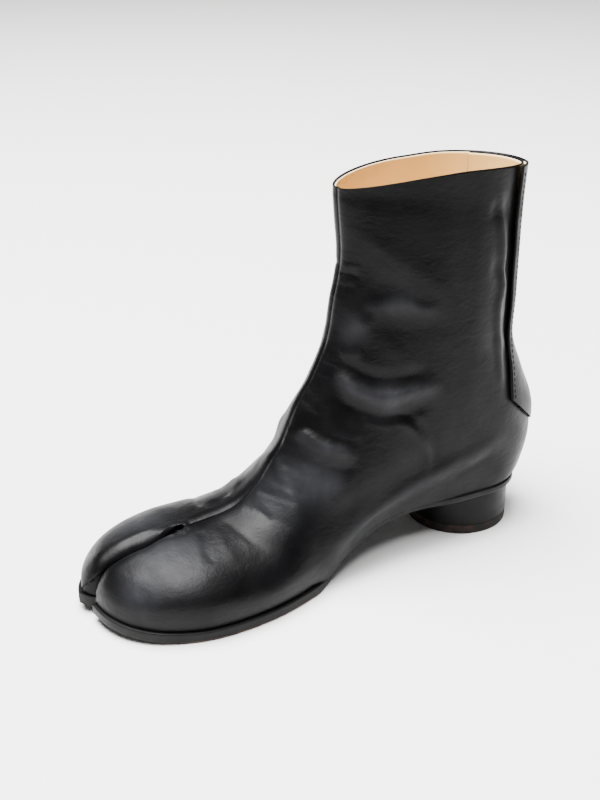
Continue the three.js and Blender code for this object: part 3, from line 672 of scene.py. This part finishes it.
def panel_points(side, depth):
    """Points of one panel of the upper, or of its lining, as rows of the grid.

    Places without leather are NaN. The second result is how much paler the leather is painted at each
    point, for rubbed wear and for a painted highlight on the lit crests.
    """
    places = panel_rows(side, depth)
    place = places[:, None]
    none, whole = np.zeros_like(places), np.ones_like(places)
    at_split = root_of(lambda w: beside_split(places, w, side, depth), none, whole)
    ends = np.where(np.arange(len(places)) < ROWS_SPLIT, at_split, 1.0)
    even = np.linspace(0, 1, ACROSS + 1)
    w = ends[:, None] * mix(even, crowded(ACROSS), EDGE_CROWDING)[None, :]
    outer = form_points(place, w, side, 0.0)
    rim = split_edge(outer)
    if depth > 0:
        rim = np.maximum(rim, 0)
    relief = front_seam(w, place, outer) + fold_depth(outer) + rim
    if side < 0:
        relief = relief - flap_offset(outer, side)
    surface = form_points(place, w, side, depth + relief)
    lap, lap_wear_and_sheen = lap_points(places, side, depth)
    wall = gusset_points(surface[:, -1, :], side, depth)
    points = np.concatenate([lap, surface, wall], axis=1)
    wear_and_sheen = np.concatenate([lap_wear_and_sheen, wear_and_sheen_of(outer), 0 * wall[..., 0]], axis=1)
    if depth > 0:
        above_margin = feather_height(points[..., 1]) + LEATHER + MARGIN_GAP
        z = points[..., 2]
        z = np.where(on_sole(place), np.maximum(z, above_margin), z)
        points[..., 2] = z - COLLAR_STEP * ease(place - (LAST_SECTION - 1))
    return points, np.nan_to_num(wear_and_sheen)


def piece_from(bm, name, slot, *materials):
    mesh = bpy.data.meshes.new(name)
    bm.to_mesh(mesh)
    bm.free()
    piece = bpy.data.objects.new(name, mesh)
    bpy.context.scene.collection.objects.link(piece)
    for material in materials:
        mesh.materials.append(material)
    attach(piece, "root")
    return piece


def smooth(bm, angle):
    for face in bm.faces:
        face.smooth = True
    for edge in bm.edges:
        edge.smooth = len(edge.link_faces) != 2 or edge.calc_face_angle(0) < angle


SHEET_MERGE = 0.00002


def sheet(points, wear_and_sheen=None):
    """A grid laid on rows of points; the places that are NaN are cut away."""
    rows, columns = points.shape[0] - 1, points.shape[1] - 1
    bm = bmesh.new()
    bmesh.ops.create_grid(bm, x_segments=columns, y_segments=rows, size=0.5)
    gone = []
    # layer of how much paler the leather is painted: rubbed wear and a painted highlight on the lit crests
    wear_and_sheen_layer = bm.verts.layers.float.new("wear_and_sheen") if wear_and_sheen is not None else None
    for vert in bm.verts:
        i = round((vert.co.y + 0.5) * rows)
        j = round((vert.co.x + 0.5) * columns)
        if np.isnan(points[i, j, 0]):
            gone.append(vert)
        else:
            vert.co = points[i, j]
            if wear_and_sheen_layer:
                vert[wear_and_sheen_layer] = wear_and_sheen[i, j]
    bmesh.ops.delete(bm, geom=gone, context="VERTS")
    bmesh.ops.remove_doubles(bm, verts=bm.verts, dist=SHEET_MERGE)
    return bm


def outward(bm, side):
    """Turns a sheet's faces so that they look away from the boot's middle."""
    toward = sum(face.normal.x * face.calc_area() * side for face in bm.faces)
    if toward < 0:
        bmesh.ops.reverse_faces(bm, faces=bm.faces)


class Finish:
    """Builds the nodes of one material round its shader."""

    def __init__(self, name, colour, roughness, specular=0.5):
        self.material = bpy.data.materials.new(name)
        self.material.use_nodes = True
        self.nodes = self.material.node_tree.nodes
        self.links = self.material.node_tree.links
        self.shader = self.nodes["Principled BSDF"]
        self.shader.inputs["Base Color"].default_value = (*colour, 1)
        self.shader.inputs["Roughness"].default_value = roughness
        self.shader.inputs["Specular IOR Level"].default_value = specular
        self.place = self.nodes.new("ShaderNodeTexCoord").outputs["Object"]

    def link(self, source, target):
        self.links.new(source, target)
        return target

    def noise(self, scale, detail=4, stretch=(1, 1, 1), distortion=0.0):
        mapping = self.nodes.new("ShaderNodeMapping")
        mapping.inputs["Scale"].default_value = stretch
        self.link(self.place, mapping.inputs["Vector"])
        texture = self.nodes.new("ShaderNodeTexNoise")
        texture.inputs["Scale"].default_value = scale
        texture.inputs["Detail"].default_value = detail
        texture.inputs["Distortion"].default_value = distortion
        self.link(mapping.outputs["Vector"], texture.inputs["Vector"])
        return texture.outputs["Fac"]

    def cells(self, scale):
        texture = self.nodes.new("ShaderNodeTexVoronoi")
        texture.inputs["Scale"].default_value = scale
        self.link(self.place, texture.inputs["Vector"])
        return texture.outputs["Distance"]

    def ranged(self, value, low, high, to_low, to_high):
        node = self.nodes.new("ShaderNodeMapRange")
        self.link(value, node.inputs["Value"])
        node.inputs["From Min"].default_value = low
        node.inputs["From Max"].default_value = high
        node.inputs["To Min"].default_value = to_low
        node.inputs["To Max"].default_value = to_high
        return node.outputs["Result"]

    def product(self, first, second):
        node = self.nodes.new("ShaderNodeMath")
        node.operation = "MULTIPLY"
        self.link(first, node.inputs[0])
        self.link(second, node.inputs[1])
        return node.outputs["Value"]

    def attribute(self, name):
        node = self.nodes.new("ShaderNodeAttribute")
        node.attribute_name = name
        return node.outputs["Fac"]

    def blend(self, factor, first, second):
        """Colour between two colours; each is a tuple or an output of a node."""
        node = self.nodes.new("ShaderNodeMix")
        node.data_type = "RGBA"
        self.link(factor, node.inputs[0])
        for socket, colour in ((node.inputs[6], first), (node.inputs[7], second)):
            if isinstance(colour, tuple):
                socket.default_value = (*colour, 1)
            else:
                self.link(colour, socket)
        return node.outputs[2]

    def relief(self, height, strength, distance, below=None):
        node = self.nodes.new("ShaderNodeBump")
        node.inputs["Strength"].default_value = strength
        node.inputs["Distance"].default_value = distance
        self.link(height, node.inputs["Height"])
        if below is not None:
            self.link(below, node.inputs["Normal"])
        return node.outputs["Normal"]

    def colour(self, value):
        self.link(value, self.shader.inputs["Base Color"])

    def roughness(self, value):
        self.link(value, self.shader.inputs["Roughness"])

    def normal(self, value):
        self.link(value, self.shader.inputs["Normal"])


def worn_black_leather():
    finish = Finish("worn_black_leather", (0.002, 0.002, 0.0023), roughness=0.42, specular=0.09)
    clouds = finish.ranged(finish.noise(scale=24, detail=3), 0.35, 0.7, to_low=0, to_high=1)
    deep, pale, scuffed_and_sheen = (0.0006, 0.0006, 0.0007), (0.0019, 0.0019, 0.0023), (0.02, 0.02, 0.023)
    body = finish.blend(clouds, deep, pale)
    # the paler grey is partly real wear, partly a painted highlight on the lit crests of the folds and on
    # the toe
    scuff_and_sheen_noise = finish.noise(scale=70, detail=8, stretch=(1, 1.6, 1))
    scuff_and_sheen_noise = finish.ranged(scuff_and_sheen_noise, 0.3, 0.7, to_low=0.5, to_high=1)
    rubbed_and_sheen = finish.product(finish.attribute("wear_and_sheen"), scuff_and_sheen_noise)
    finish.colour(finish.blend(rubbed_and_sheen, body, scuffed_and_sheen))
    finish.roughness(finish.ranged(finish.noise(scale=60, detail=4), 0.3, 0.7, to_low=0.32, to_high=0.5))
    wrinkles = finish.noise(scale=75, detail=3, stretch=(1, 1, 2.2), distortion=0.8)
    wrinkles = finish.relief(wrinkles, strength=0.16, distance=0.0014)
    fine = finish.noise(scale=260, detail=8, stretch=(1, 1, 1.7), distortion=0.5)
    fine = finish.relief(fine, strength=0.22, distance=0.0006, below=wrinkles)
    finish.normal(finish.relief(finish.cells(scale=950), strength=0.10, distance=0.0003, below=fine))
    return finish.material


def tan_lining_leather():
    finish = Finish("tan_lining_leather", (0.62, 0.40, 0.23), roughness=0.62, specular=0.3)
    clouds = finish.ranged(finish.noise(scale=30, detail=4), 0.3, 0.75, to_low=0, to_high=1)
    pale, deep = (0.98, 0.68, 0.25), (0.95, 0.59, 0.18)
    finish.colour(finish.blend(clouds, pale, deep))
    finish.normal(finish.relief(finish.noise(scale=600, detail=3), strength=0.12, distance=0.0003))
    return finish.material


def blackened_sole_edge():
    """Black dye on the edge, rubbed through to brown where the sole meets the floor."""
    finish = Finish("blackened_sole_edge", (0.004, 0.004, 0.004), roughness=0.5, specular=0.14)
    split = finish.nodes.new("ShaderNodeSeparateXYZ")
    finish.link(finish.place, split.inputs["Vector"])
    tread = finish.ranged(split.outputs["Z"], 0.0004, 0.0016, to_low=1, to_high=0)
    patches = finish.ranged(finish.noise(scale=140, detail=5), 0.38, 0.6, to_low=0.2, to_high=1)
    black, brown = (0.0035, 0.0035, 0.0035), (0.10, 0.056, 0.032)
    finish.colour(finish.blend(finish.product(tread, patches), black, brown))
    finish.roughness(finish.ranged(finish.noise(scale=90, detail=4), 0.3, 0.7, to_low=0.45, to_high=0.62))
    layers = finish.noise(scale=300, detail=4, stretch=(1, 1, 5))
    finish.normal(finish.relief(layers, strength=0.12, distance=0.0004))
    return finish.material


def blackened_heel_stack():
    finish = Finish("blackened_heel_stack", (0.002, 0.002, 0.0022), roughness=0.36, specular=0.1)
    finish.roughness(finish.ranged(finish.noise(scale=120, detail=4), 0.3, 0.7, to_low=0.3, to_high=0.5))
    layers = finish.noise(scale=40, detail=4, stretch=(1, 1, 18))
    finish.normal(finish.relief(layers, strength=0.08, distance=0.0005))
    return finish.material


def heel_lift_rubber():
    finish = Finish("heel_lift_rubber", (0.012, 0.008, 0.007), roughness=0.65, specular=0.15)
    speckles = finish.ranged(finish.noise(scale=180, detail=4), 0.4, 0.65, to_low=0, to_high=1)
    black, brown = (0.006, 0.005, 0.005), (0.026, 0.013, 0.009)
    finish.colour(finish.blend(speckles, black, brown))
    finish.normal(finish.relief(finish.noise(scale=500, detail=3), strength=0.1, distance=0.0003))
    return finish.material


def black_thread():
    return Finish("black_thread", (0.002, 0.002, 0.002), roughness=0.6, specular=0.08).material


def pale_floor():
    return Finish("pale_floor", (0.96, 0.95, 0.945), roughness=0.8, specular=0.2).material


def cut_edge(name, colour):
    return Finish(name, colour, roughness=0.85, specular=0.1).material


BLACK_LEATHER = worn_black_leather()
BLACK_THREAD = black_thread()
BLACK_CUT = cut_edge("black_cut_edge", (0.006, 0.006, 0.006))
CREAM_CUT = cut_edge("cream_cut_edge", (0.9, 0.76, 0.58))
TAN_LINING = tan_lining_leather()
SOLE_BLACK = blackened_sole_edge()
HEEL_BLACK = blackened_heel_stack()
LIFT_RUBBER = heel_lift_rubber()


# The leather is skived where it comes to a point beside the mouth of the split
SKIVED_SHARE = 0.05
SKIVED_TIP = 0.004
SKIVED_HEIGHT = 0.006
SKIVED_WIDTH = 0.012
SKIVED_FADE = 0.006


def thin_at_mouth(piece):
    """Stores the share of the full thickness that each point of a panel has."""
    group = piece.vertex_groups.new(name="full_thickness")
    for vert in piece.data.vertices:
        x, y, z = vert.co
        tip = ease((SPLIT_REAR - y - SPLIT_LENGTH + MOUTH_RADIUS) / SKIVED_TIP)
        low = 1 - ease((z - feather_height(y)) / SKIVED_HEIGHT)
        near = 1 - ease((abs(x - SPLIT_OFFSET) - SKIVED_WIDTH) / SKIVED_FADE)
        group.add([vert.index], float(1 - tip * low * near), "REPLACE")


SHARP_ANGLE = math.radians(40)
SOLID_SHARE = 0.96  # a layer fills this share of its room, so that it stays clear of the next one


def panel(name, side, depth, thickness, slot, face, rim):
    """A layer of one side of the upper, laid at a depth below the form and given its thickness."""
    bm = sheet(*panel_points(side, depth))
    bm.normal_update()
    outward(bm, side)
    smooth(bm, SHARP_ANGLE)
    piece = piece_from(bm, name, slot, face, rim)
    thin_at_mouth(piece)
    wall = piece.modifiers.new("thickness", "SOLIDIFY")
    wall.vertex_group = "full_thickness"
    wall.thickness_vertex_group = SKIVED_SHARE
    wall.thickness = thickness * SOLID_SHARE
    wall.offset = -1
    wall.material_offset_rim = 1
    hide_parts("upper")


for side, word in ((1, "inner"), (-1, "outer")):
    panel(f"leather_{word}_panel", side, 0.0, LEATHER, "upper_leather", BLACK_LEATHER, BLACK_CUT)
    panel(f"lining_{word}_panel", side, LEATHER, LINING, "lining_leather", TAN_LINING, CREAM_CUT)


STITCH_PLACES = (SEAT_SECTION + 2, LAST_SECTION - 0.05)
STITCH_SAMPLES = 1200
FIRST_LAP = 0.1
LEAST_LAP = 0.02


def stitch_line():
    """The line of the stitches beside the flap's free edge."""
    places = np.linspace(*STITCH_PLACES, STITCH_SAMPLES)
    width = np.full_like(places, FIRST_LAP)
    for _ in range(LAP_ROUNDS):
        edge_y = flap_edge_y(form_points(places, width, 1, 0.0)[..., 2])
        width = lap_width(places, -1, edge_y + STITCH_INSET)
    outer = form_points(places, width, 1, 0.0)
    line = form_points(places, width, 1, fold_depth(outer) - flap_offset(outer, 1))
    return line[(width > LEAST_LAP) & (line[:, 2] > upper_height(STITCHES_FOOT))]


def flap_stitches():
    """A row of stitches beside the flap's free edge."""
    line = stitch_line()
    run = np.concatenate([[0], np.cumsum(np.linalg.norm(np.diff(line, axis=0), axis=1))])
    bm = bmesh.new()
    shape = Matrix.Diagonal((THREAD_RADIUS, THREAD_RADIUS, STITCH_LENGTH / 2, 1))
    for start in np.arange(STITCH_START, run[-1] - STITCH_PITCH, STITCH_PITCH):
        first = Vector([np.interp(start, run, column) for column in line.T])
        last = Vector([np.interp(start + STITCH_LENGTH, run, column) for column in line.T])
        turn = (last - first).to_track_quat("Z", "Y").to_matrix().to_4x4()
        matrix = Matrix.Translation((first + last) / 2) @ turn @ shape
        bmesh.ops.create_uvsphere(bm, u_segments=10, v_segments=8, radius=1, matrix=matrix)
    smooth(bm, math.pi)
    piece_from(bm, "flap_stitches", "upper_leather", BLACK_THREAD)


flap_stitches()

# Rows and columns of the sole
SOLE_ROWS_SPLIT = 70
SOLE_ROWS_FOOT = 120
SOLE_COLUMNS = 11
SOLE_BEND_COLUMNS = 5
SOLE_WALL_COLUMNS = 6
SOLE_BEND = 0.0011  # radius of the sole's edges
SOLE_GAP = 0.00005
SOLE_MERGE = 0.00003
SOLE_SHARP_ANGLE = math.radians(60)


def sole_edge(y):
    """How far the sole stands out beyond the upper."""
    seat = ease((y + SEAT_EDGE_START) / HEEL_RADIUS)
    return mix(mix(WAIST_EDGE, SEAT_EDGE, seat), FOREPART_EDGE, tread_share(y))


def sole_rows(side):
    """Places of the rows of one half of the sole."""
    def short_of_split(place):
        x, y = edge_point(place, side, sole_edge(form_points(place, 0.0, side, 0.0)[..., 1]))
        return split_half(SPLIT_REAR - y - FOREPART_EDGE, 0.0) - np.abs(x - SPLIT_OFFSET)
    first = root_of(short_of_split, *FIRST_ROWS)
    rear = root_of(lambda p: SPLIT_REAR - section_ends(p)[0], *SPLIT_REAR_ROWS)
    ahead = mix(first, rear, crowded(SOLE_ROWS_SPLIT))
    return np.concatenate([ahead, mix(rear, SEAT_SECTION, np.linspace(0, 1, SOLE_ROWS_FOOT + 1)[1:])])


def sole_half(side):
    """Points of one half of the sole: its top, its edge, its underside and the wall at the middle."""
    places = sole_rows(side)
    base_y = section_ends(places)[0]
    out = sole_edge(base_y)
    edge_y = edge_point(places, side, out)[1]
    inner_y = mix(edge_y, base_y, ease((base_y - base_y[0]) / MOUTH_RADIUS))
    shift = FOREPART_EDGE * ease((SPLIT_REAR - inner_y - SPLIT_LENGTH / 2) / MOUTH_RADIUS)
    inner_x = SPLIT_OFFSET + side * split_half(SPLIT_REAR - inner_y - shift, 0.0)
    flat_x, flat_y = edge_point(places, side, out - SOLE_BEND)

    plan = [
        (mix(inner_x, flat_x, share), mix(inner_y, flat_y, share), 0.0)
        for share in np.linspace(0, 1, SOLE_COLUMNS + 1)[:-1]
    ]
    for angle in np.linspace(0, math.pi / 2, SOLE_BEND_COLUMNS + 1):
        x, y = edge_point(places, side, out - SOLE_BEND + SOLE_BEND * math.sin(angle))
        plan.append((x, y, SOLE_BEND * (1 - math.cos(angle))))

    columns = [np.stack([x, y, feather_height(y) - SOLE_GAP - drop], axis=-1) for x, y, drop in plan]
    columns += [np.stack([x, y, underside_height(y) + drop], axis=-1) for x, y, drop in reversed(plan)]
    top, under = columns[0], columns[-1]
    for share in np.linspace(0, 1, SOLE_WALL_COLUMNS + 1)[1:]:
        wall = mix(under, top, share)
        wall[SOLE_ROWS_SPLIT + 1:] = np.nan
        columns.append(wall)
    return np.stack(columns, axis=1)


def outsole():
    bm = sheet(sole_half(1))
    other = sheet(sole_half(-1))
    mesh = bpy.data.meshes.new("other_half")
    other.to_mesh(mesh)
    other.free()
    bm.from_mesh(mesh)
    bpy.data.meshes.remove(mesh)
    bmesh.ops.remove_doubles(bm, verts=bm.verts, dist=SOLE_MERGE)
    bmesh.ops.holes_fill(bm, edges=[e for e in bm.edges if e.is_boundary], sides=0)
    bmesh.ops.recalc_face_normals(bm, faces=bm.faces)
    smooth(bm, SOLE_SHARP_ANGLE)
    piece = piece_from(bm, "outsole_edge_and_tread", "sole_leather", SOLE_BLACK)
    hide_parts("outsole")


outsole()

# Pieces of the heel
HEEL_STEPS = 120
HEEL_MERGE = 0.00001
BEVEL_ANGLES = (0, 0.4, 0.8, 1.2, math.pi / 2)
BLOCK_GAP = 0.0001
BLOCK_BEVELS = (0.0002, 0.0004)  # at its bottom and its top
LIFT_GAP = 0.0002
LIFT_BEVELS = (0.0008, 0.0003)


def disc_outline(bottom, top, bevel_low, bevel_high):
    """Radius and height of the points up a disc's side, from its middle below to its middle above."""
    outline = [(0, bottom), (HEEL_RADIUS - bevel_low, bottom)]
    for angle in BEVEL_ANGLES[1:]:
        radius = HEEL_RADIUS - bevel_low * (1 - math.sin(angle))
        outline.append((radius, bottom + bevel_low * (1 - math.cos(angle))))
    for angle in BEVEL_ANGLES:
        radius = HEEL_RADIUS - bevel_high * (1 - math.cos(angle))
        outline.append((radius, top - bevel_high * (1 - math.sin(angle))))
    return outline + [(0, top)]


def heel_disc(name, bottom, height, bevels, slot, material, node):
    bm = bmesh.new()
    verts = [bm.verts.new((x, 0, z)) for x, z in disc_outline(bottom, bottom + height, *bevels)]
    edges = [bm.edges.new(pair) for pair in zip(verts, verts[1:])]
    bmesh.ops.spin(
        bm, geom=verts + edges, cent=(0, 0, 0), axis=(0, 0, 1),
        angle=math.tau, steps=HEEL_STEPS, use_merge=True)
    bmesh.ops.remove_doubles(bm, verts=bm.verts, dist=HEEL_MERGE)
    bmesh.ops.recalc_face_normals(bm, faces=bm.faces)
    smooth(bm, SHARP_ANGLE)
    piece = piece_from(bm, name, slot, material)
    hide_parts(node)


heel_disc(
    "heel_stack", LIFT_HEIGHT, BLOCK_HEIGHT - BLOCK_GAP, BLOCK_BEVELS,
    "heel_stack", HEEL_BLACK, "heel_block")
heel_disc(
    "heel_top_piece", 0, LIFT_HEIGHT - LIFT_GAP, LIFT_BEVELS,
    "heel_rubber", LIFT_RUBBER, "heel_lift")

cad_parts["insole"].data.materials.clear()
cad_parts["insole"].data.materials.append(TAN_LINING)

# Floor, light and camera
FLOOR_SIZE = 6
WORLD_STRENGTH = 0.17
EYE = Vector((0.5281, -0.3854, 0.3756))
AIM = Vector((-0.0091, -0.1039, 0.0931))
FOCAL_PX = 1200  # for a picture of PICTURE_HEIGHT_PX
PICTURE_HEIGHT_PX = 800
SENSOR_HEIGHT_MM = 24

bm = bmesh.new()
bmesh.ops.create_grid(bm, x_segments=1, y_segments=1, size=FLOOR_SIZE)
floor_mesh = bpy.data.meshes.new("floor")
bm.to_mesh(floor_mesh)
bm.free()
floor = bpy.data.objects.new("floor", floor_mesh)
bpy.context.scene.collection.objects.link(floor)
floor_mesh.materials.append(pale_floor())

world = bpy.data.worlds.new("studio")
world.use_nodes = True
background = world.node_tree.nodes["Background"]
background.inputs["Color"].default_value = (1, 1, 1, 1)
background.inputs["Strength"].default_value = WORLD_STRENGTH
bpy.context.scene.world = world


def lamp(name, place, target, size, power):
    data = bpy.data.lights.new(name, "AREA")
    data.energy = power
    data.size = size
    light = bpy.data.objects.new(name, data)
    light.location = place
    light.rotation_euler = (Vector(target) - Vector(place)).to_track_quat("-Z", "Y").to_euler()
    bpy.context.scene.collection.objects.link(light)


lamp("overhead", place=(-0.3, -0.4, 2.6), target=(0, -0.1, 0.05), size=1.8, power=410)
lamp("near_side", place=(1.0, -0.5, 2.0), target=(0, -0.1, 0.08), size=0.6, power=30)

camera_data = bpy.data.cameras.new("camera")
camera_data.sensor_fit = "VERTICAL"
camera_data.sensor_height = SENSOR_HEIGHT_MM
camera_data.lens = SENSOR_HEIGHT_MM * FOCAL_PX / PICTURE_HEIGHT_PX
camera = bpy.data.objects.new("camera", camera_data)
camera.location = EYE
camera.rotation_euler = (AIM - EYE).to_track_quat("-Z", "Y").to_euler()
bpy.context.scene.collection.objects.link(camera)
bpy.context.scene.camera = camera
